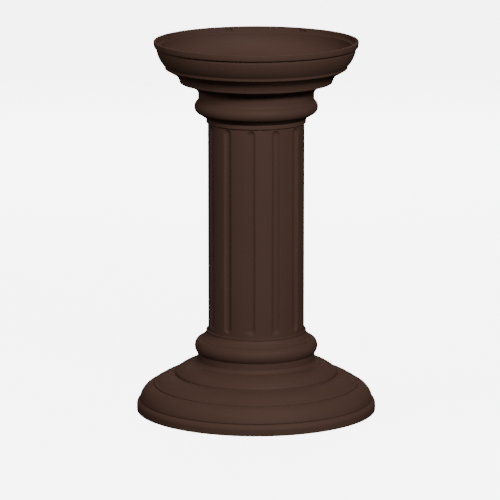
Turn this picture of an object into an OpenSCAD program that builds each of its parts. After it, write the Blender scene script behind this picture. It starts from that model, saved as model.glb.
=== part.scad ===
// Decorative cover for a mailbox pedestal: a round moulded base, a fluted shaft and a round capital.
// Each of the three sections is two half shells, parted on the plane y = 0, so that the cover
// closes round a pedestal that is already bolted down.
// Origin: centre of the foot, on the floor. +Z is up and the front faces -Y. Millimetres.

/* [Overall] */
// Height from the floor to the top of the rim
cover_h = 711; // [705:1:720]
// Outside diameter of the foot flange
foot_d = 457.2; // [450:0.2:462]
// Outside diameter of the rim
rim_d = 387.4; // [383:0.2:390]
// Outside diameter of the step between the foot and the drum
drum_d = 310.4; // [306:0.2:314]
// Gap left between the two halves of a section
seam_gap = 0.3; // [0.2:0.1:0.6]

/* [Shaft] */
// Outside diameter of the shaft
shaft_d = 183; // [180:1:184]
// Wall of the shaft
shaft_wall = 7; // [6.5:0.1:8]
// Height of the shaft's lower end above the floor, on the pedestal's base plate
shaft_foot_z = 20; // [19:1:26]
// Height of the shaft's upper end
shaft_top_z = 600; // [597:1:604]
// Number of flutes
flutes = 12; // [8:4:16]
// Radius of the round cutter that makes a flute
flute_cutter_r = 11; // [9:0.5:12]
// Depth of a flute
flute_depth = 4; // [3:0.1:4.4]
// Lower end of the flutes
flute_low_z = 162; // [160:1:170]
// Upper end of the flutes
flute_high_z = 553; // [540:1:554]

/* [Pedestal] */
// Side of the square way for the pedestal's tube
way_side = 112; // [104:1:113]
// Radial gap between the shaft and the collars that slide on it
collar_gap = 0.7; // [0.5:0.1:1]

/* [Joint straps and spacers] */
// Thickness of a joint strap
strap_t = 3.6; // [3:0.1:3.8]
// Angle that a joint strap covers
strap_angle = 26; // [24:1:28]
// Thickness of a centring spacer
spacer_t = 12; // [10:1:14]
// Height of the middle of the lower spacer
low_spacer_z = 100; // [90:1:110]
// Height of the middle of the upper spacer
high_spacer_z = 572; // [568:1:574]

/* [Rim] */
// Depth of the ledge below the rim
ledge_depth = 9; // [8:0.5:9.5]
// Width of the ledge
ledge_w = 7.7; // [5:0.1:8]
// Number of slots in the rim's inner wall
rim_slots = 8; // [4:4:12]
// Width of a rim slot
rim_slot_w = 16; // [10:1:20]
// Height of a rim slot
rim_slot_h = 4; // [3:0.5:4.5]
// Depth of a rim slot in the wall
rim_slot_depth = 3; // [2:0.5:3.5]

/* [Hidden] */
$fn = 96;

bronze = "#4b372f";
stainless = "#b9babb";
mill = "#a3a5a6";
dark = "#2b2a29";

front = 180;             // start angle of a half shell at the front, and
rear = 0;                // at the rear
foot_r = foot_d / 2;
rim_r = rim_d / 2;
drum_r = drum_d / 2;
shaft_r = shaft_d / 2;
shaft_in_r = shaft_r - shaft_wall;
collar_r = shaft_r + collar_gap;
collar_top_z = 157;      // top of the base's collar
collar_low_z = 137;      // bottom of its bore
cap_z = cover_h - 155.5; // underside of the capital
cap_collar_h = 17.5;     // height of the bore in the capital's collar
rim_wall_r = rim_r - 5.3; // inside of the rim's wall
rim_slot_z = cover_h - 5.5; // middle of the rim slots
fit_gap = 0.05;          // radial gap round a thread or shank
washer_t = 1;

// Joint lugs, where screws pull the two halves of a section together.
// Each is [inner x, outer x, low z, high z, depth from the seam, screw x, screw z, screw radius].
foot_lug = [192, foot_r - 7.6, 5, 22, 10, foot_r - 22, 13.5, 3];
neck_lug = [shaft_r + 4, shaft_r + 17.6, 99, 115, 8, shaft_r + 9.6, 107, 2.5];
dish_lug = [148, rim_r - 25.8, cap_z + 104.5, cap_z + 124, 10, 155.5, cap_z + 114, 3];
throat_lug = [shaft_r + 3.2, shaft_r + 15.6, cap_z + 46, cap_z + 60, 8, shaft_r + 7.7, cap_z + 53, 2];
base_lugs = [foot_lug, neck_lug];
capital_lugs = [dish_lug, throat_lug];

// Countersunk screws through the shaft's wall
csk_r = 2.45;
csk_head_r = 4.8;
csk_head_h = 2.6;
csk_sink = 0.2;          // a head's depth below the shaft's surface
strap_screw_angle = 6.5;
strap_screw_z = [50, 118, cap_z + 26, cap_z + 37];
spacer_screw_angle = 15;

// Set screws, at the rear of each collar
set_r = 3;
set_az = [45, 135];
set_tip_gap = 0.4;
base_set_z = 145;
cap_set_z = cap_z + 13.5;

strap_in_r = shaft_in_r - 0.2 - strap_t;
strap_low_z = shaft_foot_z + 8;
strap_high_z = shaft_top_z - 4;

// ---- Outlines -------------------------------------------------------------------------------

// An arc from p to q that stands s to the right of the straight way, or to the left if s < 0.
function bow(p, q, s, n) =
    let (d = q - p,
         c = norm(d),
         r = (c * c / 4 + s * s) / (2 * abs(s)),
         right = [d.y, -d.x] / c,
         centre = (p + q) / 2 + right * (s - sign(s) * r),
         a = atan2(p.y - centre.y, p.x - centre.x),
         b = atan2(q.y - centre.y, q.x - centre.x),
         turn = (b - a + 540) % 360 - 180)
    [for (i = [0:n]) centre + r * [cos(a + turn * i / n), sin(a + turn * i / n)]];
// On an outer surface drawn upwards, a swell stands out from the axis and a cove lies in.
function swell(p, q, s, n = 6) = bow(p, q, s, n);
function cove(p, q, s, n = 6) = bow(p, q, -s, n);

function base_outside() = concat(
    [[foot_r, 0]],
    swell([foot_r, 10.5], [foot_r - 6.6, 20.7], 1.8),
    [[foot_r - 7.4, 21.3]],
    swell([foot_r - 6, 22.3], [foot_r - 31, 49.6], 5.5, 8),
    [[foot_r - 32.8, 50.3]],
    swell([foot_r - 32.4, 51.2], [foot_r - 36.2, 54.4], 0.8, 3),
    swell([foot_r - 37, 54.6], [drum_r - 0.2, 70.2], 2.6, 6),
    swell([drum_r, 71.4], [drum_r - 4, 77.8], 0.9, 4),
    [[drum_r - 5.2, 78.2]],
    swell([drum_r - 5.8, 79], [shaft_r + 31.3, 91.6], 1.7, 6),
    cove([shaft_r + 31.3, 91.6], [shaft_r + 20.7, 98.5], 2, 4),
    swell([shaft_r + 20.5, 111.5], [shaft_r + 23.1, 134.2], 4, 10),
    [[shaft_r + 22.3, 134.8]],
    swell([shaft_r + 22.4, 135.3], [shaft_r + 17.1, 138.9], 0.5, 3),
    [[shaft_r + 16, 139]],
    cove([shaft_r + 16, 139.9], [shaft_r + 4.3, 150.8], 1.2, 5),
    [[shaft_r + 3.3, 151.3], [shaft_r + 3.9, 152.2], [shaft_r + 3.9, collar_top_z - 0.9],
     [shaft_r + 3, collar_top_z]]);

function base_inside() = concat(
    [[collar_r, collar_top_z], [collar_r, collar_low_z], [shaft_r + 10, 134.5]],
    bow([shaft_r + 14.6, 131.5], [shaft_r + 15.4, 112.5], -3.4, 6),
    [[shaft_r + 15.4, 92]],
    bow([shaft_r + 28.5, 86.2], [drum_r - 9.6, 73.6], -1.6, 5),
    bow([drum_r - 6.4, 67.4], [foot_r - 38.5, 48.6], -2.2, 4),
    bow([foot_r - 36, 46.4], [foot_r - 12.2, 21], -3.4, 6),
    [[foot_r - 8, 10], [foot_r - 8, 0]]);

// The capital's heights are counted from its underside
function capital_outside() = concat(
    [[shaft_r + 2.3, 0], [shaft_r + 3.1, 0.9], [shaft_r + 3.1, 7.2], [shaft_r + 2.4, 8.2],
     [shaft_r + 3.6, 9]],
    cove([shaft_r + 4.4, 9.2], [shaft_r + 18, 18], 0.5, 4),
    swell([shaft_r + 18, 18], [shaft_r + 22.4, 39.5], 5.3, 10),
    cove([shaft_r + 21.4, 40.3], [shaft_r + 18.2, 47.5], 0.8, 3),
    cove([shaft_r + 18.2, 55.5], [shaft_r + 27, 67.3], 1.8, 5),
    cove([shaft_r + 27, 67.3], [rim_r - 50.4, 76.4], 1.5, 4),
    [[rim_r - 49.6, 76.8], [rim_r - 48.4, 80.6], [rim_r - 49, 81.4]],
    cove([rim_r - 48, 81.7], [rim_r - 40.6, 92.9], 0.9, 4),
    [[rim_r - 22.6, 103], [rim_r - 21.4, 103.7], [rim_r - 20.6, 108.4]],
    swell([rim_r - 19.9, 109.4], [rim_r - 5.4, 138.4], 2.4, 8),
    [[rim_r - 6.8, 139.4], [rim_r - 6.8, 142.8], [rim_r - 1.9, 143.6], [rim_r - 1.1, 144.8],
     [rim_r, 150.5], [rim_r, 154.6], [rim_r - 0.8, 155.5]]);

function capital_inside() = concat(
    [[rim_r - 4.7, 155.5], [rim_wall_r, 154.9], [rim_wall_r, 155.5 - ledge_depth],
     [rim_wall_r - ledge_w, 155.5 - ledge_depth]],
    bow([rim_wall_r - ledge_w - 0.6, 145.3], [rim_r - 28.8, 107.5], -5, 8),
    [[rim_r - 43.3, 97.5], [rim_r - 48.8, 94], [rim_r - 55.3, 83.5], [shaft_r + 27, 74.5],
     [shaft_r + 15.5, 64.5], [shaft_r + 13.4, 57], [shaft_r + 13.4, 46.5]],
    bow([shaft_r + 17.8, 38], [shaft_r + 13.5, 22.8], -4.2, 6),
    [[collar_r, cap_collar_h + 0.8], [collar_r, 0]]);

// ---- Building blocks ------------------------------------------------------------------------

// Half of a shell of revolution, set back from the seam plane by half the gap
module half_shell(outline, start) {
    difference() {
        rotate_extrude(angle = 180, start = start) polygon(outline);
        translate([-300, -seam_gap / 2, -1]) cube([600, seam_gap, cover_h]);
    }
}

// A screw hole or shank along Y at a lug
module along_y(lug, side, r, from, to) {
    translate([side * lug[5], from, lug[6]]) rotate([-90, 0, 0]) cylinder(h = to - from, r = r);
}

// The lugs of one half; way is -1 at the front and 1 at the rear
module lug_blocks(lugs, way) {
    for (lug = lugs, side = [-1, 1])
        translate([side > 0 ? lug[0] : -lug[1], way > 0 ? seam_gap / 2 : -lug[4], lug[2]])
            cube([lug[1] - lug[0], lug[4] - seam_gap / 2, lug[3] - lug[2]]);
}

module lug_holes(lugs) {
    for (lug = lugs, side = [-1, 1])
        along_y(lug, side, lug[7] + 0.25, -lug[4] - 2, lug[4] + 2);
}

module joint_screws(lugs) {
    color(stainless)
    for (lug = lugs, side = [-1, 1]) {
        head_y = -lug[4] - washer_t;
        along_y(lug, side, lug[7], head_y, lug[4] + 2 * washer_t + 2.2 * lug[7]);
        translate([side * lug[5], head_y, lug[6]]) rotate([90, 30, 0])
            cylinder(h = 1.3 * lug[7], r = 1.9 * lug[7], $fn = 6);
    }
}

module joint_washers(lugs) {
    color(stainless)
    for (lug = lugs, side = [-1, 1], way = [-1, 1])
        difference() {
            along_y(lug, side, 2 * lug[7], way > 0 ? lug[4] : -lug[4] - washer_t,
                    way > 0 ? lug[4] + washer_t : -lug[4]);
            along_y(lug, side, lug[7] + 0.2, -lug[4] - 2, lug[4] + 2);
        }
}

module joint_nuts(lugs) {
    color(stainless)
    for (lug = lugs, side = [-1, 1])
        translate([side * lug[5], lug[4] + washer_t, lug[6]]) rotate([-90, 30, 0])
            difference() {
                cylinder(h = 1.7 * lug[7], r = 1.9 * lug[7], $fn = 6);
                translate([0, 0, -1]) cylinder(h = 2 + 1.7 * lug[7], r = lug[7] + fit_gap);
            }
}

// Turns a shape that points along +Z so that it points outwards from the axis at one azimuth
module radial(az, z) {
    translate([0, 0, z]) rotate([0, 0, az]) rotate([0, 90, 0]) children();
}

module set_holes(z) {
    for (az = set_az) radial(az, z) translate([0, 0, shaft_r - 2]) cylinder(h = 40, r = set_r);
}

// Grub screws with a hexagon socket; length is from the tip to the drive end
module set_screws(z, length) {
    color(dark)
    for (az = set_az) radial(az, z)
        translate([0, 0, shaft_r + set_tip_gap]) difference() {
            cylinder(h = length, r = set_r - fit_gap);
            translate([0, 0, length - 2.5]) cylinder(h = 4, r = 1.7, $fn = 6);
        }
}

// The places of the strap screws and the spacer screws of one half: [azimuth, height]
function strap_screw_places(way) =
    [for (side = [0, 180], z = strap_screw_z)
        [side + (side == 0 ? way : -way) * strap_screw_angle, z]];
function spacer_screw_places(way) =
    [for (s = [-1, 1], z = [low_spacer_z, high_spacer_z]) [way * 90 + s * spacer_screw_angle, z]];

module csk_hole() {
    translate([0, 0, shaft_in_r - 6]) cylinder(h = shaft_wall + 8, r = csk_r + 0.25);
    translate([0, 0, shaft_r - csk_sink - csk_head_h])
        cylinder(h = csk_head_h + 0.01, r1 = csk_r + 0.25, r2 = csk_head_r + 0.15);
    translate([0, 0, shaft_r - csk_sink]) cylinder(h = 3, r = csk_head_r + 0.15);
}

module csk_screw(length) {
    difference() {
        union() {
            translate([0, 0, shaft_r - csk_sink - length]) cylinder(h = length - 1, r = csk_r);
            translate([0, 0, shaft_r - csk_sink - csk_head_h])
                cylinder(h = csk_head_h, r1 = csk_r, r2 = csk_head_r);
        }
        translate([0, 0, shaft_r - csk_sink - 1.6]) cylinder(h = 3, r = 1.6, $fn = 6);
    }
}

// ---- Base -----------------------------------------------------------------------------------

module base_half(start, way) {
    color(bronze)
    difference() {
        union() {
            half_shell(concat(base_outside(), base_inside()), start);
            lug_blocks(base_lugs, way);
        }
        lug_holes(base_lugs);
        if (way > 0) set_holes(base_set_z);
    }
}

module base_front_half() { base_half(front, -1); }
module base_rear_half() { base_half(rear, 1); }
module base_joint_screws() { joint_screws(base_lugs); }
module base_joint_washers() { joint_washers(base_lugs); }
module base_joint_nuts() { joint_nuts(base_lugs); }
module base_set_screws() { set_screws(base_set_z, 8); }

// ---- Shaft ----------------------------------------------------------------------------------

// The round-ended cutter of one flute, as a solid of revolution about its own upright axis
module flute_cutter() {
    r = flute_cutter_r;
    reach = sqrt(r * r - pow(r - flute_depth, 2)); // half the flute's width at the surface
    low = flute_low_z + reach;
    high = flute_high_z - reach;
    rotate_extrude() polygon(concat(
        [for (i = [0:7]) [r * sin(90 * i / 7), low - r * cos(90 * i / 7)]],
        [for (i = [0:7]) [r * cos(90 * i / 7), high + r * sin(90 * i / 7)]]));
}

module shaft_half(start, way) {
    first = way < 0 ? -flutes / 2 : 0;
    color(bronze)
    difference() {
        half_shell([[shaft_in_r, shaft_foot_z], [shaft_r - 1, shaft_foot_z],
                    [shaft_r, shaft_foot_z + 1], [shaft_r, shaft_top_z - 1],
                    [shaft_r - 1, shaft_top_z], [shaft_in_r, shaft_top_z]], start);
        for (i = [first : first + flutes / 2])
            rotate([0, 0, 360 / flutes * i])
                translate([shaft_r + flute_cutter_r - flute_depth, 0, 0]) flute_cutter();
        for (p = concat(strap_screw_places(way), spacer_screw_places(way)))
            radial(p[0], p[1]) csk_hole();
    }
}

module joint_strap(side) {
    color(mill)
    difference() {
        rotate_extrude(angle = strap_angle, start = side - strap_angle / 2)
            translate([strap_in_r, strap_low_z]) square([strap_t, strap_high_z - strap_low_z]);
        for (way = [-1, 1], p = strap_screw_places(way))
            radial(p[0], p[1]) cylinder(h = shaft_r, r = csk_r + fit_gap);
    }
}

module shaft_front_half() { shaft_half(front, -1); }
module shaft_rear_half() { shaft_half(rear, 1); }
module shaft_left_strap() { joint_strap(180); }
module shaft_right_strap() { joint_strap(0); }

module shaft_strap_screws() {
    color(stainless)
    for (way = [-1, 1], p = strap_screw_places(way))
        radial(p[0], p[1]) csk_screw(shaft_r - csk_sink - strap_in_r);
}

// Half a ring that centres the shaft on the pedestal's square tube and clears the joint straps
module spacer(z, way) {
    span = 180 - strap_angle - 4;
    color(mill)
    difference() {
        rotate_extrude(angle = span, start = way * 90 - span / 2)
            translate([way_side / 2 - 4, z - spacer_t / 2])
                square([shaft_in_r - 0.2 - way_side / 2 + 4, spacer_t]);
        translate([-way_side / 2, -way_side / 2, z - spacer_t])
            cube([way_side, way_side, 2 * spacer_t]);
        for (p = spacer_screw_places(way))
            radial(p[0], p[1]) cylinder(h = shaft_r, r = csk_r + fit_gap);
    }
}

module lower_spacer_front() { spacer(low_spacer_z, -1); }
module lower_spacer_rear() { spacer(low_spacer_z, 1); }
module upper_spacer_front() { spacer(high_spacer_z, -1); }
module upper_spacer_rear() { spacer(high_spacer_z, 1); }

module spacer_screws() {
    color(stainless)
    for (way = [-1, 1], p = spacer_screw_places(way)) radial(p[0], p[1]) csk_screw(22);
}

// ---- Capital --------------------------------------------------------------------------------

// A round-ended blind slot in the rim's inner wall, on +X
module rim_slot() {
    ends = (rim_slot_w - rim_slot_h) / 2;
    length = rim_slot_depth + 4;
    translate([rim_wall_r - 4, 0, rim_slot_z]) {
        for (side = [-1, 1])
            translate([0, side * ends, 0]) rotate([0, 90, 0]) cylinder(h = length, r = rim_slot_h / 2);
        translate([0, -ends, -rim_slot_h / 2]) cube([length, 2 * ends, rim_slot_h]);
    }
}

module capital_half(start, way) {
    color(bronze)
    difference() {
        union() {
            translate([0, 0, cap_z])
                half_shell(concat(capital_outside(), capital_inside()), start);
            lug_blocks(capital_lugs, way);
        }
        lug_holes(capital_lugs);
        for (i = [0 : rim_slots - 1])
            rotate([0, 0, 360 / rim_slots * (i + 0.5)]) rim_slot();
        if (way > 0) set_holes(cap_set_z);
    }
}

module capital_front_half() { capital_half(front, -1); }
module capital_rear_half() { capital_half(rear, 1); }
module capital_joint_screws() { joint_screws(capital_lugs); }
module capital_joint_washers() { joint_washers(capital_lugs); }
module capital_joint_nuts() { joint_nuts(capital_lugs); }
module capital_set_screws() { set_screws(cap_set_z, 7); }

base_front_half();
base_rear_half();
base_joint_screws();
base_joint_washers();
base_joint_nuts();
base_set_screws();
shaft_front_half();
shaft_rear_half();
shaft_left_strap();
shaft_right_strap();
shaft_strap_screws();
lower_spacer_front();
lower_spacer_rear();
upper_spacer_front();
upper_spacer_rear();
spacer_screws();
capital_front_half();
capital_rear_half();
capital_joint_screws();
capital_joint_washers();
capital_joint_nuts();
capital_set_screws();
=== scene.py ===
# Decorative pedestal cover: the visible shells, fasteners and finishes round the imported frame.
import math

import bmesh
import bpy
from mathutils import Matrix, Vector


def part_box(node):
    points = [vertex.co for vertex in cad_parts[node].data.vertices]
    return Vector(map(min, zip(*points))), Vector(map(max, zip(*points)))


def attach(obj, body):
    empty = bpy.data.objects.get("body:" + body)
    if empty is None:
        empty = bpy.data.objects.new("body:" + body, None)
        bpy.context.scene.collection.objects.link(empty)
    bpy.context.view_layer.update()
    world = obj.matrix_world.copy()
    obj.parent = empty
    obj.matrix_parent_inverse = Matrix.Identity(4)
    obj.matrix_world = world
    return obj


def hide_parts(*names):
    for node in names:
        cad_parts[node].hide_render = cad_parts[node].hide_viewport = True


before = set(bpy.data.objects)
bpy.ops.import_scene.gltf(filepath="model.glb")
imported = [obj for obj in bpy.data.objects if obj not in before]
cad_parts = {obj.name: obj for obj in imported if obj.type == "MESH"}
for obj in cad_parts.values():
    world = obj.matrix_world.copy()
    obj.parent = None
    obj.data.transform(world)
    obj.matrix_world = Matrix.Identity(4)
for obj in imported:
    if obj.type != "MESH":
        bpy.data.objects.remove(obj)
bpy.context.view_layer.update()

# ---- Sizes, in metres -------------------------------------------------------------------------

MM = 0.001
foot_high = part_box("base_front_half")[1]
cap_low, cap_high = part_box("capital_front_half")
shaft_low, shaft_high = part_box("shaft_front_half")

FOOT_R = foot_high.x
COLLAR_TOP = foot_high.z
RIM_R = cap_high.x
CAP_Z = cap_low.z
COVER_H = cap_high.z
SHAFT_R = shaft_high.x
SHAFT_FOOT = shaft_low.z
SHAFT_TOP = shaft_high.z
HALF_GAP = 0.003 * MM            # half the gap at a seam, so narrow that no light shows through

DRUM_R = 155.2 * MM
SHAFT_IN_R = SHAFT_R - 7 * MM
COLLAR_R = SHAFT_R + 0.7 * MM
SEAM_ROUND = 0.4 * MM            # rounding of a shell's edges along its seam
EDGE_EASE = 0.55                 # rounding of an outline's corners, in millimetres
SECTION_COLUMNS = 160            # steps round half a base or capital
SHAFT_COLUMNS = 480              # steps round half the shaft, close enough to carry its flutes
LEDGE_DEPTH = 9 * MM
LEDGE_W = 7.7 * MM
RIM_WALL_R = RIM_R - 5.3 * MM    # inside of the rim's wall
RIM_SLOTS = 8
RIM_SLOT_W = 16 * MM
RIM_SLOT_H = 4 * MM
RIM_SLOT_DEPTH = 3 * MM
RIM_SLOT_Z = COVER_H - 5.5 * MM

FLUTES = 12
FLUTE_CUT_R = 11 * MM
FLUTE_DEPTH = 4 * MM
FLUTE_LOW = 162 * MM
FLUTE_HIGH = 553 * MM
FLUTE_EDGE = 0.9 * MM            # softness of a flute's edge
# How far a flute's rounded end runs
FLUTE_REACH = math.sqrt(FLUTE_CUT_R ** 2 - (FLUTE_CUT_R - FLUTE_DEPTH) ** 2)

FRONT, REAR = "front", "rear"
TURN = {FRONT: math.pi, REAR: 0.0}
WAY = {FRONT: -1, REAR: 1}

# Joint lugs: inner x, outer x, low z, high z, depth from the seam, screw x, screw z, screw radius
FOOT_LUG = (192 * MM, FOOT_R - 7.6 * MM, 5 * MM, 22 * MM, 10 * MM, FOOT_R - 22 * MM, 13.5 * MM, 3 * MM)
NECK_LUG = (SHAFT_R + 4 * MM, SHAFT_R + 17.6 * MM, 99 * MM, 115 * MM, 8 * MM,
            SHAFT_R + 9.6 * MM, 107 * MM, 2.5 * MM)
DISH_LUG = (148 * MM, RIM_R - 25.8 * MM, CAP_Z + 104.5 * MM, CAP_Z + 124 * MM, 10 * MM,
            155.5 * MM, CAP_Z + 114 * MM, 3 * MM)
THROAT_LUG = (SHAFT_R + 3.2 * MM, SHAFT_R + 15.6 * MM, CAP_Z + 46 * MM, CAP_Z + 60 * MM, 8 * MM,
              SHAFT_R + 7.7 * MM, CAP_Z + 53 * MM, 2 * MM)
BASE_LUGS = (FOOT_LUG, NECK_LUG)
CAPITAL_LUGS = (DISH_LUG, THROAT_LUG)

DRILL_ROOM = 0.25 * MM           # a screw hole's radius over its screw's
OVERRUN = 4 * MM                 # how far a cutter runs past what it cuts
SCREW_R = 2.45 * MM              # countersunk screws in the shaft
HEAD_R = 4.8 * MM
HEAD_H = 2.6 * MM
HEAD_SINK = 0.2 * MM
SET_R = 3 * MM
SET_TIP_GAP = 0.4 * MM
SET_AZ = (45, 135)
BASE_SET_Z = 145 * MM
CAP_SET_Z = CAP_Z + 13.5 * MM
STRAP_SCREW_Z = (50 * MM, 118 * MM, CAP_Z + 26 * MM, CAP_Z + 37 * MM)
STRAP_SCREW_ANGLE = 6.5
SPACER_SCREW_Z = (100 * MM, 572 * MM)
SPACER_SCREW_ANGLE = 15
SPACER_SCREW_L = 22 * MM
STRAP_IN_R = SHAFT_IN_R - 3.8 * MM


# ---- Node trees -------------------------------------------------------------------------------

class Tree:
    """A short way to build a node tree: each call adds a node, sets it and joins its inputs."""

    def __init__(self, tree):
        self.tree = tree

    def add(self, kind, inputs=None, **settings):
        node = self.tree.nodes.new(kind)
        for name, value in settings.items():
            setattr(node, name, value)
        for key, value in (inputs or {}).items():
            socket = node.inputs[key]
            if isinstance(value, bpy.types.NodeSocket):
                self.tree.links.new(value, socket)
            else:
                socket.default_value = value
        return node

    def math(self, operation, *values, clamp=False):
        node = self.tree.nodes.new("ShaderNodeMath")
        node.operation = operation
        node.use_clamp = clamp
        for socket, value in zip(node.inputs, values):
            if isinstance(value, bpy.types.NodeSocket):
                self.tree.links.new(value, socket)
            else:
                socket.default_value = value
        return node.outputs[0]

    def socket(self, name, kind, default=None, way="INPUT"):
        item = self.tree.interface.new_socket(name=name, in_out=way, socket_type=kind)
        if default is not None:
            item.default_value = default
        return item


def geometry_tree(name, sockets):
    """A Geometry Nodes tree with its named inputs; returns the Tree, its input node and output node."""
    tree = Tree(bpy.data.node_groups.new(name, "GeometryNodeTree"))
    tree.socket("Geometry", "NodeSocketGeometry")
    tree.socket("Geometry", "NodeSocketGeometry", way="OUTPUT")
    for socket_name, kind, default in sockets:
        tree.socket(socket_name, kind, default)
    return tree, tree.add("NodeGroupInput"), tree.add("NodeGroupOutput")


def set_inputs(modifier, values):
    """Sets a Geometry Nodes modifier's inputs by the identifiers of its named sockets."""
    for item in modifier.node_group.interface.items_tree:
        if item.in_out == "INPUT" and item.name in values:
            modifier[item.identifier] = values[item.name]


def end_tree(tree, group_in, group_out, geometry):
    """Every tree ends in Realize Instances and Set Material."""
    real = tree.add("GeometryNodeRealizeInstances", {"Geometry": geometry})
    dressed = tree.add("GeometryNodeSetMaterial",
                       {"Geometry": real.outputs[0], "Material": group_in.outputs["Material"]})
    tree.tree.links.new(dressed.outputs[0], group_out.inputs[0])


def grown(source, tree, name, **values):
    """The plain mesh object that a Geometry Nodes tree makes from a source object."""
    modifier = source.modifiers.new("grow", "NODES")
    modifier.node_group = tree
    set_inputs(modifier, {key.replace("_", " "): value for key, value in values.items()})
    depsgraph = bpy.context.evaluated_depsgraph_get()
    mesh = bpy.data.meshes.new_from_object(source.evaluated_get(depsgraph), depsgraph=depsgraph)
    piece = bpy.data.objects.new(name, mesh)
    bpy.context.scene.collection.objects.link(piece)
    bpy.data.objects.remove(source)
    return piece


def turned_shell_tree():
    """Turns a closed outline through half a circle, rounds both seam edges and closes the ends."""
    tree, given, result = geometry_tree("turned_half_shell", [
        ("Columns", "NodeSocketInt", 160), ("Turn", "NodeSocketFloat", 0.0),
        ("Half gap", "NodeSocketFloat", HALF_GAP), ("Seam round", "NodeSocketFloat", SEAM_ROUND),
        ("Material", "NodeSocketMaterial", None)])
    m = tree.math
    outline = given.outputs["Geometry"]
    columns = given.outputs["Columns"]
    round_r = given.outputs["Seam round"]
    half_gap = given.outputs["Half gap"]
    count = tree.add("GeometryNodeAttributeDomainSize", {"Geometry": outline}).outputs[0]
    rows = m("ADD", count, 1)
    grid = tree.add("GeometryNodeMeshGrid", {
        "Size X": count, "Size Y": columns, "Vertices X": rows, "Vertices Y": m("ADD", columns, 1)})
    place = tree.add("GeometryNodeInputPosition").outputs[0]
    across = tree.add("ShaderNodeSeparateXYZ", {0: place})
    row = m("ROUND", m("ADD", across.outputs[0], m("MULTIPLY", count, 0.5)))
    column = m("ROUND", m("ADD", across.outputs[1], m("MULTIPLY", columns, 0.5)))
    index = m("MODULO", row, count)
    outward = tree.add("GeometryNodeInputNamedAttribute", {"Name": "outward"},
                       data_type="FLOAT_VECTOR")
    point = tree.add("GeometryNodeSampleIndex", {0: outline, "Value": place, "Index": index},
                     data_type="FLOAT_VECTOR")
    normal = tree.add("GeometryNodeSampleIndex",
                      {0: outline, "Value": outward.outputs[0], "Index": index},
                      data_type="FLOAT_VECTOR")
    # the seam edge is a quarter round of three columns at each end
    from_end = m("MINIMUM", m("MINIMUM", column, m("SUBTRACT", columns, column)), 2)
    step = m("MULTIPLY", from_end, math.pi / 4)
    inset = m("MULTIPLY", round_r, m("SUBTRACT", 1, m("SINE", step)))
    off_plane = m("ADD", half_gap, m("MULTIPLY", round_r, m("SUBTRACT", 1, m("COSINE", step))))
    point_xyz = tree.add("ShaderNodeSeparateXYZ", {0: point.outputs[0]})
    normal_xyz = tree.add("ShaderNodeSeparateXYZ", {0: normal.outputs[0]})
    radius = m("SUBTRACT", point_xyz.outputs[0], m("MULTIPLY", inset, normal_xyz.outputs[0]))
    height = m("SUBTRACT", point_xyz.outputs[2], m("MULTIPLY", inset, normal_xyz.outputs[2]))
    first = m("ARCSINE", m("DIVIDE", off_plane, radius))
    share = m("DIVIDE", m("SUBTRACT", column, 2), m("SUBTRACT", columns, 4), clamp=True)
    angle = m("ADD", first, m("MULTIPLY", share, m("SUBTRACT", math.pi, m("MULTIPLY", first, 2))))
    wrapped = tree.add("ShaderNodeCombineXYZ", {
        0: m("MULTIPLY", radius, m("COSINE", angle)),
        1: m("MULTIPLY", radius, m("SINE", angle)), 2: height})
    skin = tree.add("GeometryNodeSetPosition",
                    {"Geometry": grid.outputs[0], "Position": wrapped.outputs[0]})
    # the two flat ends, filled from the inset outline
    loop = tree.add("GeometryNodeMeshToCurve", {0: outline})
    own = tree.add("ShaderNodeSeparateXYZ", {0: place})
    own_out = tree.add("ShaderNodeSeparateXYZ", {0: outward.outputs[0]})
    flat = tree.add("ShaderNodeCombineXYZ", {
        0: m("SUBTRACT", own.outputs[0], m("MULTIPLY", round_r, own_out.outputs[0])),
        1: m("SUBTRACT", own.outputs[2], m("MULTIPLY", round_r, own_out.outputs[2])), 2: 0.0})
    laid = tree.add("GeometryNodeSetPosition",
                    {"Geometry": loop.outputs[0], "Position": flat.outputs[0]})
    filled = tree.add("GeometryNodeFillCurve", {"Curve": laid.outputs[0]})
    ends = []
    for side in (1, -1):
        spot = tree.add("ShaderNodeSeparateXYZ", {0: place})
        seam_x = m("SQRT", m("SUBTRACT", m("POWER", spot.outputs[0], 2), m("POWER", half_gap, 2)))
        stood = tree.add("ShaderNodeCombineXYZ", {
            0: m("MULTIPLY", seam_x, side), 1: half_gap, 2: spot.outputs[1]})
        ends.append(tree.add("GeometryNodeSetPosition",
                             {"Geometry": filled.outputs[0], "Position": stood.outputs[0]}))
    joined = tree.add("GeometryNodeJoinGeometry")
    for part in [skin] + ends:
        tree.tree.links.new(part.outputs[0], joined.inputs[0])
    merged = tree.add("GeometryNodeMergeByDistance",
                      {"Geometry": joined.outputs[0], "Distance": 3e-6})
    spin = tree.add("ShaderNodeCombineXYZ", {2: given.outputs["Turn"]})
    turned = tree.add("GeometryNodeTransform",
                      {"Geometry": merged.outputs[0], "Rotation": spin.outputs[0]})
    end_tree(tree, given, result, turned.outputs[0])
    return tree.tree


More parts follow.
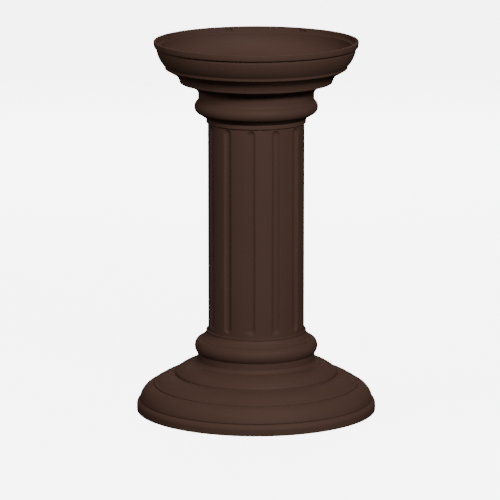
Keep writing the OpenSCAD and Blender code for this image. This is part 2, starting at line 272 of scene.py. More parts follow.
def fluting_tree():
    """Presses round-bottomed, round-ended flutes into the outer wall of an upright shell."""
    tree, given, result = geometry_tree("fluting", [
        ("Flutes", "NodeSocketInt", FLUTES), ("Shaft radius", "NodeSocketFloat", SHAFT_R),
        ("Cutter radius", "NodeSocketFloat", FLUTE_CUT_R), ("Depth", "NodeSocketFloat", FLUTE_DEPTH),
        ("Low end", "NodeSocketFloat", FLUTE_LOW), ("High end", "NodeSocketFloat", FLUTE_HIGH),
        ("End reach", "NodeSocketFloat", FLUTE_REACH), ("Edge", "NodeSocketFloat", FLUTE_EDGE),
        ("Wall middle", "NodeSocketFloat", SHAFT_R - 3 * MM), ("Material", "NodeSocketMaterial", None)])
    m = tree.math
    shaft_r = given.outputs["Shaft radius"]
    cutter = given.outputs["Cutter radius"]
    place = tree.add("GeometryNodeInputPosition").outputs[0]
    xyz = tree.add("ShaderNodeSeparateXYZ", {0: place})
    x, y, z = xyz.outputs
    radius = m("SQRT", m("ADD", m("POWER", x, 2), m("POWER", y, 2)))
    period = m("DIVIDE", 2 * math.pi, given.outputs["Flutes"])
    azimuth = m("ARCTAN2", y, x)
    off = m("SUBTRACT", azimuth, m("MULTIPLY", m("ROUND", m("DIVIDE", azimuth, period)), period))
    axis_r = m("SUBTRACT", m("ADD", shaft_r, cutter), given.outputs["Depth"])
    low = m("ADD", given.outputs["Low end"], given.outputs["End reach"])
    high = m("SUBTRACT", given.outputs["High end"], given.outputs["End reach"])
    past = m("SUBTRACT", z, m("MINIMUM", m("MAXIMUM", z, low), high))
    sideways = m("MULTIPLY", axis_r, m("SINE", off))
    left = m("SUBTRACT", m("SUBTRACT", m("POWER", cutter, 2), m("POWER", past, 2)),
             m("POWER", sideways, 2))
    floor_r = m("SUBTRACT", m("MULTIPLY", axis_r, m("COSINE", off)),
                m("SQRT", m("MAXIMUM", left, 0.0)))
    depth = m("SMOOTH_MAX", m("SUBTRACT", shaft_r, floor_r), 0.0, given.outputs["Edge"])
    outer = m("GREATER_THAN", radius, given.outputs["Wall middle"])
    scale = m("SUBTRACT", 1, m("DIVIDE", m("MULTIPLY", depth, outer), radius))
    pressed = tree.add("ShaderNodeCombineXYZ",
                       {0: m("MULTIPLY", x, scale), 1: m("MULTIPLY", y, scale), 2: z})
    carved = tree.add("GeometryNodeSetPosition",
                      {"Geometry": given.outputs["Geometry"], "Position": pressed.outputs[0]})
    end_tree(tree, given, result, carved.outputs[0])
    return tree.tree


def setting_out_tree():
    """Stands a copy of one fastener at every point, turned to the point's own axis."""
    tree, given, result = geometry_tree("fastener_setting_out", [
        ("Fastener", "NodeSocketObject", None), ("Material", "NodeSocketMaterial", None)])
    fastener = tree.add("GeometryNodeObjectInfo", {"Object": given.outputs["Fastener"]})
    axis = tree.add("GeometryNodeInputNamedAttribute", {"Name": "axis"}, data_type="FLOAT_VECTOR")
    spin = tree.add("FunctionNodeAlignRotationToVector", {"Vector": axis.outputs[0]}, axis="Z")
    placed = tree.add("GeometryNodeInstanceOnPoints", {
        "Points": given.outputs["Geometry"], "Instance": fastener.outputs["Geometry"],
        "Rotation": spin.outputs[0]})
    end_tree(tree, given, result, placed.outputs[0])
    return tree.tree


# ---- Outlines, as (radius, height) in millimetres ----------------------------------------------

def bow(p, q, s, n):
    """An arc from p to q that stands s to the right of the straight way, or to the left if s < 0."""
    p, q = Vector(p), Vector(q)
    d = q - p
    r = (d.length_squared / 4 + s * s) / (2 * abs(s))
    right = Vector((d.y, -d.x)) / d.length
    centre = (p + q) / 2 + right * (s - math.copysign(r, s))
    a = math.atan2(p.y - centre.y, p.x - centre.x)
    b = math.atan2(q.y - centre.y, q.x - centre.x)
    turn = (b - a + math.pi) % (2 * math.pi) - math.pi
    return [centre + r * Vector((math.cos(a + turn * i / n), math.sin(a + turn * i / n)))
            for i in range(n + 1)]


def swell(p, q, s, n=10):
    return bow(p, q, s, n)


def cove(p, q, s, n=10):
    return bow(p, q, -s, n)


def eased(points, radius, support=3.0):
    """A closed outline with its corners rounded, and a point beside each corner to hold its shading."""
    least_bend = math.radians(16)
    points = [Vector(p) for p in points]
    points = [p for i, p in enumerate(points) if (p - points[i - 1]).length > 1e-4]
    result = []
    for i, p in enumerate(points):
        before, after = points[i - 1] - p, points[(i + 1) % len(points)] - p
        bend = math.pi - before.angle(after)
        if bend < least_bend:
            result.append(p)
            continue
        cut = min(radius, 0.4 * before.length, 0.4 * after.length)
        start, end = p + before.normalized() * cut, p + after.normalized() * cut
        if before.length > 2.5 * support * cut:
            result.append(p + before.normalized() * support * cut)
        result += [start, start.lerp(p, 0.45).lerp(p.lerp(end, 0.1), 0.2),
                   (start + 2 * p + end) / 4, end.lerp(p, 0.45).lerp(p.lerp(start, 0.1), 0.2), end]
        if after.length > 2.5 * support * cut:
            result.append(p + after.normalized() * support * cut)
    return result


def base_outline():
    """Up the outside by foot, bell, drum, neck and collar, then down the inside."""
    foot, drum, shaft = FOOT_R / MM, DRUM_R / MM, SHAFT_R / MM
    top, bore = COLLAR_TOP / MM, COLLAR_R / MM
    return [
        (foot, 0), *swell((foot, 10.5), (foot - 6.6, 20.7), 1.8, 8), (foot - 7.4, 21.3),
        *swell((foot - 6, 22.3), (foot - 31, 49.6), 5.5, 20), (foot - 32.8, 50.3),
        *swell((foot - 32.4, 51.2), (foot - 36.2, 54.4), 0.8, 5),
        *swell((foot - 37, 54.6), (drum - 0.2, 70.2), 2.6, 14),
        *swell((drum, 71.4), (drum - 4, 77.8), 0.9, 6), (drum - 5.2, 78.2),
        *swell((drum - 5.8, 79), (shaft + 31.3, 91.6), 1.7, 12),
        *cove((shaft + 31.3, 91.6), (shaft + 20.7, 98.5), 2, 8),
        *swell((shaft + 20.5, 111.5), (shaft + 23.1, 134.2), 4, 20), (shaft + 22.3, 134.8),
        *swell((shaft + 22.4, 135.3), (shaft + 17.1, 138.9), 0.5, 5), (shaft + 16, 139),
        *cove((shaft + 16, 139.9), (shaft + 4.3, 150.8), 1.2, 10),
        (shaft + 3.3, 151.3), (shaft + 3.9, 152.2), (shaft + 3.9, top - 0.9), (shaft + 3, top),
        (bore, top), (bore, 137), (shaft + 10, 134.5),
        *bow((shaft + 14.6, 131.5), (shaft + 15.4, 112.5), -3.4, 12),
        (shaft + 15.4, 92), *bow((shaft + 28.5, 86.2), (drum - 9.6, 73.6), -1.6, 8),
        *bow((drum - 6.4, 67.4), (foot - 38.5, 48.6), -2.2, 8),
        *bow((foot - 36, 46.4), (foot - 12.2, 21), -3.4, 12), (foot - 8, 10), (foot - 8, 0)]


def capital_outline():
    """Up the outside by collar, torus, two tiers and rim, then down the dish and the throat."""
    rim, shaft, bore, up = RIM_R / MM, SHAFT_R / MM, COLLAR_R / MM, (COVER_H - CAP_Z) / MM
    wall, ledge = RIM_WALL_R / MM, up - LEDGE_DEPTH / MM
    lip = wall - LEDGE_W / MM
    points = [
        (shaft + 2.3, 0), (shaft + 3.1, 0.9), (shaft + 3.1, 7.2), (shaft + 2.4, 8.2), (shaft + 3.6, 9),
        *cove((shaft + 4.4, 9.2), (shaft + 18, 18), 0.5, 8),
        *swell((shaft + 18, 18), (shaft + 22.4, 39.5), 5.3, 22),
        *cove((shaft + 21.4, 40.3), (shaft + 18.2, 47.5), 0.8, 6),
        *cove((shaft + 18.2, 55.5), (shaft + 27, 67.3), 1.8, 10),
        *cove((shaft + 27, 67.3), (rim - 50.4, 76.4), 1.5, 8),
        (rim - 49.6, 76.8), (rim - 48.4, 80.6), (rim - 49, 81.4),
        *cove((rim - 48, 81.7), (rim - 40.6, 92.9), 0.9, 8),
        (rim - 22.6, 103), (rim - 21.4, 103.7), (rim - 20.6, 108.4),
        *swell((rim - 19.9, 109.4), (rim - 5.4, 138.4), 2.4, 20),
        (rim - 6.8, 139.4), (rim - 6.8, 142.8), (rim - 1.9, 143.6), (rim - 1.1, 144.8),
        (rim, up - 5), (rim, up - 0.9), (rim - 0.8, up),
        (rim - 4.7, up), (wall, up - 0.6), (wall, ledge), (lip, ledge),
        *bow((lip - 0.6, 145.3), (rim - 28.8, 107.5), -5, 20),
        (rim - 43.3, 97.5), (rim - 48.8, 94), (rim - 55.3, 83.5), (shaft + 27, 74.5),
        (shaft + 15.5, 64.5), (shaft + 13.4, 57), (shaft + 13.4, 46.5),
        *bow((shaft + 17.8, 38), (shaft + 13.5, 22.8), -4.2, 12), (bore, 18.3), (bore, 0)]
    return [(r, z + CAP_Z / MM) for r, z in points]


def shaft_outline():
    """Rows are close together where the flutes end and far apart along their straight middles."""
    r, wall, low, high = SHAFT_R / MM, SHAFT_IN_R / MM, SHAFT_FOOT / MM, SHAFT_TOP / MM
    end_rows, middle_rows, back_rows = 26, 12, 8
    reach = 2 * FLUTE_REACH / MM
    flute_low, flute_high = FLUTE_LOW / MM, FLUTE_HIGH / MM
    heights = [low + 1, 60, 110, flute_low - 6]
    heights += [flute_low - 1 + (reach + 1) * i / end_rows for i in range(end_rows + 1)]
    middle = [flute_low + reach + (flute_high - flute_low - 2 * reach) * i / middle_rows
              for i in range(1, middle_rows)]
    heights += middle + [flute_high - reach + (reach + 1) * i / end_rows for i in range(end_rows + 1)]
    heights += [flute_high + 6, 575, high - 1]
    return ([(wall, low), (r - 1, low)] + [(r, z) for z in heights]
            + [(r - 1, high), (wall, high)]
            + [(wall, high - (high - low) * i / back_rows) for i in range(1, back_rows)])


# ---- Mesh helpers -----------------------------------------------------------------------------

def linked(name, mesh):
    piece = bpy.data.objects.new(name, mesh)
    bpy.context.scene.collection.objects.link(piece)
    return piece


def outline_object(points):
    """A closed loop of edges in the XZ plane, with each point's outward direction stored on it."""
    area = sum(a[0] * b[1] - b[0] * a[1] for a, b in zip(points, points[1:] + points[:1]))
    side = 1 if area > 0 else -1
    mesh = bpy.data.meshes.new("outline")
    mesh.from_pydata([(p[0] * MM, 0, p[1] * MM) for p in points],
                     [(i, (i + 1) % len(points)) for i in range(len(points))], [])
    outward = mesh.attributes.new("outward", "FLOAT_VECTOR", "POINT")
    for i, item in enumerate(outward.data):
        before, here = Vector(points[i - 1]), Vector(points[i])
        after = Vector(points[(i + 1) % len(points)])
        along = (here - before).normalized() + (after - here).normalized()
        along.normalize()
        item.vector = (side * along.y, 0, -side * along.x)
    return linked("outline", mesh)


def face_out(piece):
    """Closes doubles and turns every face outwards."""
    shape = bmesh.new()
    shape.from_mesh(piece.data)
    bmesh.ops.remove_doubles(shape, verts=shape.verts, dist=2e-6)
    bmesh.ops.dissolve_degenerate(shape, dist=1e-7, edges=shape.edges)
    bmesh.ops.recalc_face_normals(shape, faces=shape.faces)
    shape.to_mesh(piece.data)
    shape.free()
    return piece


def smooth(piece, angle=50):
    for face in piece.data.polygons:
        face.use_smooth = True
    piece.data.set_sharp_from_angle(angle=math.radians(angle))
    return piece


def combined(piece, other, operation):
    """Cuts or adds other to piece and removes it."""
    cut = piece.modifiers.new("cut", "BOOLEAN")
    cut.operation = operation
    cut.object = other
    cut.solver = "EXACT"
    depsgraph = bpy.context.evaluated_depsgraph_get()
    mesh = bpy.data.meshes.new_from_object(piece.evaluated_get(depsgraph), depsgraph=depsgraph)
    piece.modifiers.clear()
    piece.data = mesh
    bpy.data.objects.remove(other)
    return piece


def revolved(name, rows, segments=32):
    """A closed solid about Z. A row is (radius, z); radius may be a function of the angle."""
    shape = bmesh.new()
    rings = []
    for radius, z in rows:
        if radius == 0:
            rings.append([shape.verts.new((0, 0, z))])
            continue
        ring = []
        for i in range(segments):
            a = 2 * math.pi * i / segments
            r = radius(a) if callable(radius) else radius
            ring.append(shape.verts.new((r * math.cos(a), r * math.sin(a), z)))
        rings.append(ring)
    pairs = list(zip(rings, rings[1:]))
    if len(rings[0]) > 1:
        pairs.append((rings[-1], rings[0]))
    for one, two in pairs:
        for i in range(segments):
            j = (i + 1) % segments
            corners = [one[i % len(one)], one[j % len(one)], two[j % len(two)], two[i % len(two)]]
            distinct = list(dict.fromkeys(corners))
            if len(distinct) > 2:
                shape.faces.new(distinct)
    bmesh.ops.recalc_face_normals(shape, faces=shape.faces)
    mesh = bpy.data.meshes.new(name)
    shape.to_mesh(mesh)
    shape.free()
    return linked(name, mesh)


def hexagon(across_flats, limit=None):
    """The radius of a hexagon at an angle, cut off by a round limit."""
    def radius(a):
        r = across_flats / 2 / math.cos((a + math.pi / 6) % (math.pi / 3) - math.pi / 6)
        return r if limit is None else min(r, limit)
    return radius


def threaded(radius, start, end, pitch):
    """Rows of a shank with thread grooves between two heights."""
    depth = 0.3 * pitch
    turns = round((end - start) / pitch)
    rows = []
    for i in range(turns):
        z = start + pitch * i
        rows += [(radius, z), (radius, z + 0.3 * pitch), (radius - depth, z + 0.6 * pitch),
                 (radius - depth, z + 0.7 * pitch)]
    return rows + [(radius, start + pitch * turns)]


def block(low, high):
    """A box with eased edges, between two corners."""
    shape = bmesh.new()
    bmesh.ops.create_cube(shape, size=1)
    size, middle = Vector(high) - Vector(low), (Vector(high) + Vector(low)) / 2
    bmesh.ops.transform(shape, verts=shape.verts,
                        matrix=Matrix.Translation(middle) @ Matrix.Diagonal(size).to_4x4())
    upright = [e for e in shape.edges if abs((e.verts[0].co - e.verts[1].co).normalized().y) > 0.9]
    bmesh.ops.bevel(shape, geom=upright, offset=2 * MM, segments=4, profile=0.5, affect="EDGES")
    mesh = bpy.data.meshes.new("block")
    shape.to_mesh(mesh)
    shape.free()
    return linked("block", mesh)


def rod(place, axis, radius, length, segments, cone=None):
    """A plain round cutter that starts at place; cone is (wide radius, height) at its far end."""
    rows = [(0, 0), (radius, 0), (radius, length)]
    if cone:
        rows = [(0, 0), (radius, 0), (radius, length - cone[1]), (cone[0], length),
                (cone[0], length + OVERRUN)]
    rows.append((0, rows[-1][1]))
    piece = revolved("rod", rows, segments)
    turn = Vector(axis).to_track_quat("Z", "Y").to_matrix().to_4x4()
    piece.data.transform(Matrix.Translation(place) @ turn)
    return piece


def one_object(parts):
    """Several meshes that don't touch, as one object."""
    shape = bmesh.new()
    for part in parts:
        shape.from_mesh(part.data)
        bpy.data.objects.remove(part)
    mesh = bpy.data.meshes.new("parts")
    shape.to_mesh(mesh)
    shape.free()
    return linked("parts", mesh)


def outwards(az):
    return Vector((math.cos(math.radians(az)), math.sin(math.radians(az)), 0))


# ---- Materials --------------------------------------------------------------------------------

def group_tree(name, inputs, outputs):
    tree = Tree(bpy.data.node_groups.new(name, "ShaderNodeTree"))
    for socket_name, default in inputs:
        tree.socket(socket_name, "NodeSocketFloat", default)
    for socket_name in outputs:
        tree.socket(socket_name, "NodeSocketFloat", way="OUTPUT")
    return tree, tree.add("NodeGroupInput"), tree.add("NodeGroupOutput")


def noise(tree, vector, scale, detail=3.0, rough=0.5):
    node = tree.add("ShaderNodeTexNoise", {"Vector": vector, "Scale": scale, "Detail": detail,
                                           "Roughness": rough})
    return node.outputs["Fac"]


def orange_peel_group():
    """The faint lumps of a cured powder coat: a height, and a mask of its fine sparkle."""
    tree, given, out = group_tree("orange_peel", [
        ("Lumps per metre", 420.0), ("Grain per metre", 2600.0), ("Grain share", 0.25)],
        ["Height", "Sparkle"])
    place = tree.add("ShaderNodeTexCoord").outputs["Object"]
    lumps = noise(tree, place, given.outputs[0], 2.0, 0.45)
    grain = noise(tree, place, given.outputs[1], 2.0, 0.6)
    height = tree.math("ADD", lumps, tree.math("MULTIPLY", grain, given.outputs[2]))
    tree.tree.links.new(height, out.inputs[0])
    tree.tree.links.new(tree.math("MULTIPLY", tree.math("SUBTRACT", grain, 0.5), 3.0, clamp=True),
                        out.inputs[1])
    return tree.tree


def mottle_group():
    """Slow drifts over a surface, from 0 to 1, for colour and gloss."""
    tree, given, out = group_tree("mottle", [("Patches per metre", 9.0), ("Contrast", 1.5)], ["Mask"])
    place = tree.add("ShaderNodeTexCoord").outputs["Object"]
    wide = noise(tree, place, given.outputs[0], 4.0, 0.55)
    centred = tree.math("MULTIPLY", tree.math("SUBTRACT", wide, 0.5), given.outputs[1])
    tree.tree.links.new(tree.math("ADD", centred, 0.5, clamp=True), out.inputs[0])
    return tree.tree


def edge_group():
    """Masks of the raised edges, where a finish thins, and of the recesses: on the powder coat dust stays
    there, and on the bare metals the recesses are darkened as painted shade.
    """
    tree, given, out = group_tree("edges_and_recesses", [
        ("Edge reach", 6.0), ("Break up per metre", 260.0)], ["Edges", "Recesses"])
    place = tree.add("ShaderNodeTexCoord").outputs["Object"]
    point = tree.add("ShaderNodeNewGeometry").outputs["Pointiness"]
    flat, margin = 0.5, 0.01         # the pointiness of a flat face, and how far off it still counts
    broken = noise(tree, place, given.outputs[1], 4.0, 0.6)
    reach = given.outputs[0]
    raised = tree.math("MULTIPLY", tree.math("SUBTRACT", point, flat + margin), reach, clamp=True)
    sunk = tree.math("MULTIPLY", tree.math("SUBTRACT", flat - margin, point), reach, clamp=True)
    tree.tree.links.new(tree.math("MULTIPLY", raised, broken), out.inputs[0])
    tree.tree.links.new(tree.math("MULTIPLY", sunk, broken), out.inputs[1])
    return tree.tree


def brushed_group():
    """Fine lines along one axis: a height and a mask."""
    tree, given, out = group_tree("brushed_lines", [
        ("Across", 1800.0), ("Along", 30.0)], ["Height", "Mask"])
    place = tree.add("ShaderNodeTexCoord").outputs["Object"]
    stretch = tree.add("ShaderNodeCombineXYZ", {0: given.outputs[0], 1: given.outputs[0],
                                                2: given.outputs[1]})
    scaled = tree.add("ShaderNodeVectorMath", {0: place, 1: stretch.outputs[0]}, operation="MULTIPLY")
    lines = noise(tree, scaled.outputs[0], 1.0, 3.0, 0.6)
    tree.tree.links.new(lines, out.inputs[0])
    tree.tree.links.new(tree.math("MULTIPLY", tree.math("SUBTRACT", lines, 0.35), 2.5, clamp=True),
                        out.inputs[1])
    return tree.tree


ORANGE_PEEL = orange_peel_group()
MOTTLE = mottle_group()
EDGES = edge_group()
BRUSHED = brushed_group()


def new_material(name, **constants):
    material = bpy.data.materials.new(name)
    material.use_nodes = True
    tree = Tree(material.node_tree)
    shader = tree.tree.nodes["Principled BSDF"]
    for key, value in constants.items():
        shader.inputs[key.replace("_", " ")].default_value = value
    return material, tree, shader


def use_group(tree, group, **values):
    node = tree.add("ShaderNodeGroup", node_tree=group)
    for key, value in values.items():
        node.inputs[key.replace("_", " ")].default_value = value
    return node


def mixed(tree, share, one, two):
    """A colour between two, by share."""
    node = tree.add("ShaderNodeMix", data_type="RGBA")
    for socket, value in ((node.inputs[0], share), (node.inputs[6], one), (node.inputs[7], two)):
        if isinstance(value, bpy.types.NodeSocket):
            tree.tree.links.new(value, socket)
        else:
            socket.default_value = value if isinstance(value, float) else (*value, 1.0)
    return node.outputs[2]


def between(tree, share, low, high):
    """A number between two, by share."""
    return tree.math("ADD", low, tree.math("MULTIPLY", share, high - low))


def bumped(tree, shader, height, depth):
    bump = tree.add("ShaderNodeBump", {"Height": height, "Distance": depth, "Strength": 1.0})
    tree.tree.links.new(bump.outputs[0], shader.inputs["Normal"])


BRONZE = (0.088, 0.048, 0.036)
BRONZE_DEEP = (0.078, 0.042, 0.031)
BRONZE_EDGE = (0.125, 0.074, 0.054)
DUST = (0.135, 0.105, 0.085)


def powder_coat():
    material, tree, shader = new_material("bronze_powder_coat", Metallic=0.0, Specular_IOR_Level=0.14)
    link = tree.tree.links.new
    mottle = use_group(tree, MOTTLE, Patches_per_metre=7.0, Contrast=1.6)
    peel = use_group(tree, ORANGE_PEEL)
    edges = use_group(tree, EDGES, Edge_reach=5.0)
    colour = mixed(tree, mottle.outputs[0], BRONZE_DEEP, BRONZE)
    colour = mixed(tree, tree.math("MULTIPLY", edges.outputs["Edges"], 0.5), colour, BRONZE_EDGE)
    colour = mixed(tree, tree.math("MULTIPLY", edges.outputs["Recesses"], 0.3), colour, DUST)
    link(colour, shader.inputs["Base Color"])
    gloss = between(tree, mottle.outputs[0], 0.64, 0.70)
    gloss = tree.math("ADD", gloss, tree.math("MULTIPLY", peel.outputs["Sparkle"], 0.05))
    gloss = tree.math("ADD", gloss, tree.math("MULTIPLY", edges.outputs["Recesses"], 0.2), clamp=True)
    link(gloss, shader.inputs["Roughness"])
    bumped(tree, shader, peel.outputs["Height"], 0.05 * MM)
    return material


def bare_metal(name, light, dark_tint, rough, along=30.0, line_depth=0.01):
    """A brushed metal; the depth of its lines is in millimetres."""
    material, tree, shader = new_material(name, Metallic=1.0)
    link = tree.tree.links.new
    lines = use_group(tree, BRUSHED, Along=along)
    mottle = use_group(tree, MOTTLE, Patches_per_metre=40.0, Contrast=1.8)
    edges = use_group(tree, EDGES, Edge_reach=4.0, Break_up_per_metre=900.0)
    colour = mixed(tree, mottle.outputs[0], dark_tint, light)
    # painted shade: the bare metal is darkened to a third of its dark tint in recesses and creases, where
    # shade falls
    colour = mixed(tree, tree.math("MULTIPLY", edges.outputs["Recesses"], 0.7), colour,
                   tuple(0.35 * c for c in dark_tint))
    link(colour, shader.inputs["Base Color"])
    gloss = between(tree, lines.outputs["Mask"], rough - 0.06, rough + 0.1)
    link(tree.math("ADD", gloss, tree.math("MULTIPLY", edges.outputs["Recesses"], 0.2), clamp=True),
         shader.inputs["Roughness"])
    bumped(tree, shader, lines.outputs["Height"], line_depth * MM)
    return material


POWDER = powder_coat()
STAINLESS = bare_metal("stainless_steel", (0.66, 0.65, 0.63), (0.52, 0.51, 0.50), 0.28)
MILL = bare_metal("mill_aluminium", (0.74, 0.75, 0.77), (0.60, 0.61, 0.63), 0.38,
                  along=12.0, line_depth=0.02)
BLACK = bare_metal("black_oxide", (0.045, 0.045, 0.048), (0.028, 0.028, 0.03), 0.42)

TURNED_SHELL = turned_shell_tree()
FLUTING = fluting_tree()
SETTING_OUT = setting_out_tree()


# ---- Shells -----------------------------------------------------------------------------------

def half_shell(outline, half):
    return grown(outline_object(eased(outline, EDGE_EASE)), TURNED_SHELL, "shell",
                 Columns=SECTION_COLUMNS, Turn=TURN[half], Material=POWDER)


def lug_blocks(lugs, half):
    way = WAY[half]
    blocks = []
    for x0, x1, z0, z1, depth, *_ in lugs:
        for side in (-1, 1):
            xs, ys = sorted((side * x0, side * x1)), sorted((way * HALF_GAP, way * depth))
            blocks.append(block((xs[0], ys[0], z0), (xs[1], ys[1], z1)))
    return one_object(blocks)


def lug_drills(lugs):
    """Holes for the joint screws, from front to rear through both halves' lugs."""
    past = 2 * MM
    return [rod((side * x, -depth - past, z), (0, 1, 0), r + DRILL_ROOM, 2 * depth + 2 * past, 24)
            for *_, depth, x, z, r in lugs for side in (-1, 1)]


def set_drills(z):
    """Holes for the set screws, from just inside the shaft's face outwards."""
    inside, length = 2 * MM, 40 * MM
    return [rod(outwards(az) * (SHAFT_R - inside) + Vector((0, 0, z)), outwards(az), SET_R, length, 32)
            for az in SET_AZ]


def hand_over(piece, name, body, node, material):
    """Names and dresses a finished piece, puts it on its body and lets it stand for its CAD node."""
    piece.name = name
    piece.data.name = name
    piece.data.materials.clear()
    piece.data.materials.append(material)
    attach(piece, body)
    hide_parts(node)


def finished_shell(piece, body, node):
    smooth(face_out(piece))
    hand_over(piece, node + "_shell", body, node, POWDER)


def section_half(half, outline, lugs, drills, name, body):
    shell = face_out(half_shell(outline, half))
    combined(shell, lug_blocks(lugs, half), "UNION")
    combined(shell, one_object(lug_drills(lugs) + drills), "DIFFERENCE")
    finished_shell(shell, body, name)


def rim_slot_cutters():
    """Round-ended cutters for the blind slots, evenly set round the rim's inner wall."""
    half_h, half_w, segments = RIM_SLOT_H / 2, RIM_SLOT_W / 2, 12
    edge = []
    for side in (1, -1):
        for i in range(segments + 1):
            a = math.pi * (i / segments - 0.5)
            edge.append((side * (half_w - half_h + half_h * math.cos(a)), side * half_h * math.sin(a)))
    cutters = []
    for i in range(RIM_SLOTS):
        way = outwards(360 / RIM_SLOTS * (i + 0.5))
        across = Vector((-way.y, way.x, 0))
        shape = bmesh.new()
        rings = []
        for r in (RIM_WALL_R - OVERRUN, RIM_WALL_R + RIM_SLOT_DEPTH):
            rings.append([shape.verts.new(way * r + across * u + Vector((0, 0, RIM_SLOT_Z + v)))
                          for u, v in edge])
        for ring in rings:
            shape.faces.new(ring)
        for j in range(len(edge)):
            k = (j + 1) % len(edge)
            shape.faces.new((rings[0][j], rings[0][k], rings[1][k], rings[1][j]))
        bmesh.ops.recalc_face_normals(shape, faces=shape.faces)
        mesh = bpy.data.meshes.new("rim_slot")
        shape.to_mesh(mesh)
        shape.free()
        cutters.append(linked("rim_slot", mesh))
    return cutters


def strap_screw_places(way):
    """Azimuths and heights of the screws beside the seams; way is -1 at the front and 1 at the rear."""
    return [((side + (way if side == 0 else -way) * STRAP_SCREW_ANGLE), z)
            for side in (0, 180) for z in STRAP_SCREW_Z]


def spacer_screw_places(way):
    """Azimuths and heights of the screws into the spacers, about the middle of a half."""
    return [(way * 90 + s * SPACER_SCREW_ANGLE, z) for s in (-1, 1) for z in SPACER_SCREW_Z]


def shaft_half(half):
    name = f"shaft_{half}_half"
    shell = grown(outline_object(shaft_outline()), TURNED_SHELL, "shell",
                  Columns=SHAFT_COLUMNS, Turn=TURN[half], Material=POWDER)
    fluted = face_out(grown(shell, FLUTING, "fluted", Material=POWDER))
    way = WAY[half]
    reach = SHAFT_R - HEAD_SINK
    drills = [rod(outwards(az) * (SHAFT_IN_R - OVERRUN) + Vector((0, 0, z)), outwards(az),
                  SCREW_R + DRILL_ROOM, reach - SHAFT_IN_R + OVERRUN, 32,
                  cone=(HEAD_R + 0.15 * MM, HEAD_H))
              for az, z in strap_screw_places(way) + spacer_screw_places(way)]
    combined(fluted, one_object(drills), "DIFFERENCE")
    finished_shell(fluted, "shaft", name)


# ---- Fasteners --------------------------------------------------------------------------------

def hex_screw(r, length):
    """Underside of the head at 0, head below it and shank above."""
    head, flats = 1.3 * r, 3.29 * r
    return revolved("hex_screw", [
        (0, -head), (0.6 * flats / 2, -head), (0.94 * flats / 2, -head),
        (hexagon(flats, 1.02 * flats / 2), -0.93 * head), (hexagon(flats, 1.1 * flats / 2), -0.84 * head),
        (hexagon(flats), -0.74 * head), (hexagon(flats), -0.14 * head),
        (hexagon(flats, 1.04 * flats / 2), -0.06 * head), (0.95 * flats / 2, 0),
        (1.05 * r, 0), (0.985 * r, 0.3 * r), *threaded(0.985 * r, 0.35 * length, 0.95 * length, 0.33 * r),
        (0.8 * r, length), (0, length)], 36)


def hex_nut(r):
    """Stands on 0, with its bore clear of the screw."""
    height, flats, bore = 1.7 * r, 3.29 * r, r + 0.05 * MM
    return revolved("hex_nut", [
        (1.12 * bore, 0), (0.93 * flats / 2, 0), (hexagon(flats, 1.03 * flats / 2), 0.07 * height),
        (hexagon(flats), 0.2 * height), (hexagon(flats), 0.8 * height),
        (hexagon(flats, 1.03 * flats / 2), 0.93 * height), (0.93 * flats / 2, height),
        (1.12 * bore, height), (bore, 0.9 * height), (bore, 0.1 * height)], 36)


def washer(r, thickness):
    bore, edge, ease = r + 0.2 * MM, 2 * r, 0.15 * thickness
    return revolved("washer", [
        (bore, ease), (bore + ease, 0), (edge - ease, 0), (edge, ease), (edge, thickness - ease),
        (edge - ease, thickness), (bore + ease, thickness), (bore, thickness - ease)], 32)


def set_screw(length):
    r = SET_R - 0.05 * MM
    socket = 3 * MM
    return revolved("set_screw", [
        (0, 0), (0.55 * r, 0), (0.9 * r, 0.3 * MM), *threaded(r, 0.8 * MM, length - 0.8 * MM, 0.9 * MM),
        (0.9 * r, length), (hexagon(socket * 1.12), length), (hexagon(socket), length - 0.2 * MM),
        (hexagon(socket), length - 2.4 * MM), (0, length - 2.9 * MM)], 36)


def countersunk_screw(length):
    """Tip at 0, top of the head at length."""
    socket = 3 * MM
    return revolved("countersunk_screw", [
        (0, 0), (0.8 * SCREW_R, 0), *threaded(SCREW_R, 0.4 * MM, length - HEAD_H - 0.3 * MM, 0.8 * MM),
        (SCREW_R, length - HEAD_H), (HEAD_R - 0.15 * MM, length - 0.25 * MM), (HEAD_R, length - 0.1 * MM),
        (HEAD_R - 0.15 * MM, length), (hexagon(socket * 1.1), length),
        (hexagon(socket), length - 0.2 * MM), (hexagon(socket), length - 1.5 * MM),
        (0, length - 1.8 * MM)], 36)


def set_out(fasteners, name, body, material):
    """fasteners is [(fastener object, [(place, axis), ...]), ...]; the result is one mesh piece."""
    parts = []
    for fastener, places in fasteners:
        mesh = bpy.data.meshes.new("places")
        mesh.from_pydata([place for place, _ in places], [], [])
        axis = mesh.attributes.new("axis", "FLOAT_VECTOR", "POINT")
        for item, (_, direction) in zip(axis.data, places):
            item.vector = direction
        parts.append(grown(linked("places", mesh), SETTING_OUT, "placed",
                           Fastener=fastener, Material=material))
        bpy.data.objects.remove(fastener)
    piece = smooth(one_object(parts), 35)
    hand_over(piece, name + "_turned", body, name, material)


def joint_fasteners(section, lugs):
    screws, washers, nuts = [], [], []
    plate = 1 * MM
    for *_, depth, x, z, r in lugs:
        sides = [Vector((side * x, 0, z)) for side in (-1, 1)]
        rearwards = Vector((0, 1, 0))
        length = 2 * depth + 3 * plate + 2.2 * r
        screws.append((hex_screw(r, length),
                       [(s - rearwards * (depth + plate), rearwards) for s in sides]))
        washers.append((washer(r, plate), [(s + rearwards * y, rearwards) for s in sides
                                           for y in (-depth - plate, depth)]))
        nuts.append((hex_nut(r), [(s + rearwards * (depth + plate), rearwards) for s in sides]))
    for kind, fasteners in (("screws", screws), ("washers", washers), ("nuts", nuts)):
        set_out(fasteners, f"{section}_joint_{kind}", section, STAINLESS)


def radial_places(spots, start):
    return [(outwards(az) * start + Vector((0, 0, z)), outwards(az)) for az, z in spots]


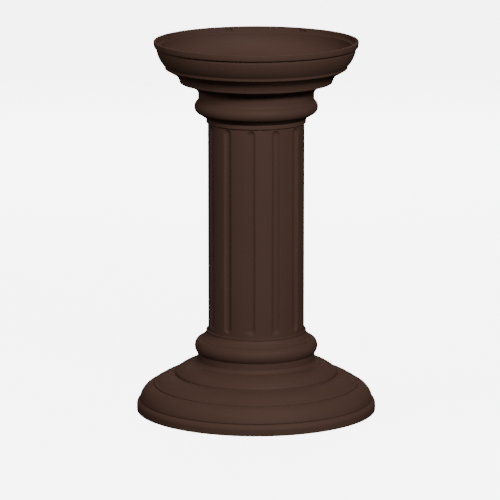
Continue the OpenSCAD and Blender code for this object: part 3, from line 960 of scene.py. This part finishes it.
for half in (FRONT, REAR):
    at_rear = half == REAR
    section_half(half, base_outline(), BASE_LUGS, set_drills(BASE_SET_Z) if at_rear else [],
                 f"base_{half}_half", "base")
    section_half(half, capital_outline(), CAPITAL_LUGS,
                 rim_slot_cutters() + (set_drills(CAP_SET_Z) if at_rear else []),
                 f"capital_{half}_half", "capital")
    shaft_half(half)

joint_fasteners("base", BASE_LUGS)
joint_fasteners("capital", CAPITAL_LUGS)
for section, z, length in (("base", BASE_SET_Z, 8 * MM), ("capital", CAP_SET_Z, 7 * MM)):
    set_out([(set_screw(length), radial_places([(az, z) for az in SET_AZ], SHAFT_R + SET_TIP_GAP))],
            f"{section}_set_screws", section, BLACK)

for name, places, start in (
        ("shaft_strap_screws", strap_screw_places, STRAP_IN_R),
        ("spacer_screws", spacer_screw_places, SHAFT_R - HEAD_SINK - SPACER_SCREW_L)):
    spots = places(-1) + places(1)
    set_out([(countersunk_screw(SHAFT_R - HEAD_SINK - start), radial_places(spots, start))],
            name, "shaft", STAINLESS)

for name in ("shaft_left_strap", "shaft_right_strap", "lower_spacer_front", "lower_spacer_rear",
             "upper_spacer_front", "upper_spacer_rear"):
    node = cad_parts[name]
    node.data.materials.clear()
    node.data.materials.append(MILL)


# ---- Floor, light and camera ------------------------------------------------------------------

def plain_floor():
    """Pale to the camera, and much darker to the object, so that little light comes up from it."""
    mesh = bpy.data.meshes.new("studio_floor")
    half = 40.0
    mesh.from_pydata([(-half, -half, 0), (half, -half, 0), (half, half, 0), (-half, half, 0)], [],
                     [(0, 1, 2, 3)])
    piece = linked("studio_floor", mesh)
    material, tree, shader = new_material("studio_floor", Roughness=0.9, Specular_IOR_Level=0.0)
    seen = tree.add("ShaderNodeLightPath").outputs["Is Camera Ray"]
    tree.tree.links.new(mixed(tree, seen, FLOOR_BOUNCE, FLOOR_PALE), shader.inputs["Base Color"])
    shader.inputs["Emission Color"].default_value = (1, 1, 1, 1)
    tree.tree.links.new(tree.math("MULTIPLY", seen, FLOOR_GLOW), shader.inputs["Emission Strength"])
    mesh.materials.append(material)


def area_light(name, place, aim, size, power, glossy=True):
    data = bpy.data.lights.new(name, "AREA")
    data.shape = "RECTANGLE"
    data.size, data.size_y = size
    data.energy = power
    piece = bpy.data.objects.new(name, data)
    bpy.context.scene.collection.objects.link(piece)
    piece.location = place
    piece.rotation_euler = (Vector(aim) - Vector(place)).to_track_quat("-Z", "Y").to_euler()
    piece.visible_glossy = glossy


def sky(strength):
    """An even pale studio: brighter to the camera than to the object."""
    world = bpy.data.worlds.new("studio")
    bpy.context.scene.world = world
    world.use_nodes = True
    tree = Tree(world.node_tree)
    seen = tree.add("ShaderNodeLightPath").outputs["Is Camera Ray"]
    back = tree.tree.nodes["Background"]
    back.inputs[0].default_value = (1, 1, 1, 1)
    tree.tree.links.new(tree.math("ADD", strength, seen), back.inputs[1])


def camera():
    """Well back and above, a few degrees round to the right, looking down through a long lens."""
    data = bpy.data.cameras.new("camera")
    data.sensor_width = 36
    data.lens = 286.776
    data.clip_end = 200
    piece = bpy.data.objects.new("camera", data)
    bpy.context.scene.collection.objects.link(piece)
    away, up = 10.45 * COVER_H, 2.53 * COVER_H
    round_to, off_axis, down = math.radians(6), math.radians(0.09), 11.341
    piece.location = (away * math.sin(round_to), -away * math.cos(round_to), up)
    piece.rotation_euler = (math.radians(90 - down), 0, round_to + off_axis)
    bpy.context.scene.camera = piece


FLOOR_PALE = (0.93, 0.93, 0.93)
FLOOR_BOUNCE = (0.03, 0.03, 0.03)
FLOOR_GLOW = 6.0

plain_floor()
middle = (0, 0, COVER_H * 0.5)
area_light("key", (1.5, -3.25, 2.3), middle, (2.4, 0.5), 140)
area_light("left_fill", (-3.3, -1.6, 2.0), middle, (1.5, 1.0), 46, glossy=False)
area_light("right_fill", (3.5, -0.1, 1.7), middle, (1.4, 1.2), 6, glossy=False)
area_light("rear_soft", (-0.4, 3.5, 1.7), middle, (2.6, 1.4), 90, glossy=False)
area_light("top_soft", (0, -0.3, 3.6), middle, (2.4, 2.4), 24, glossy=False)
sky(0.02)
camera()
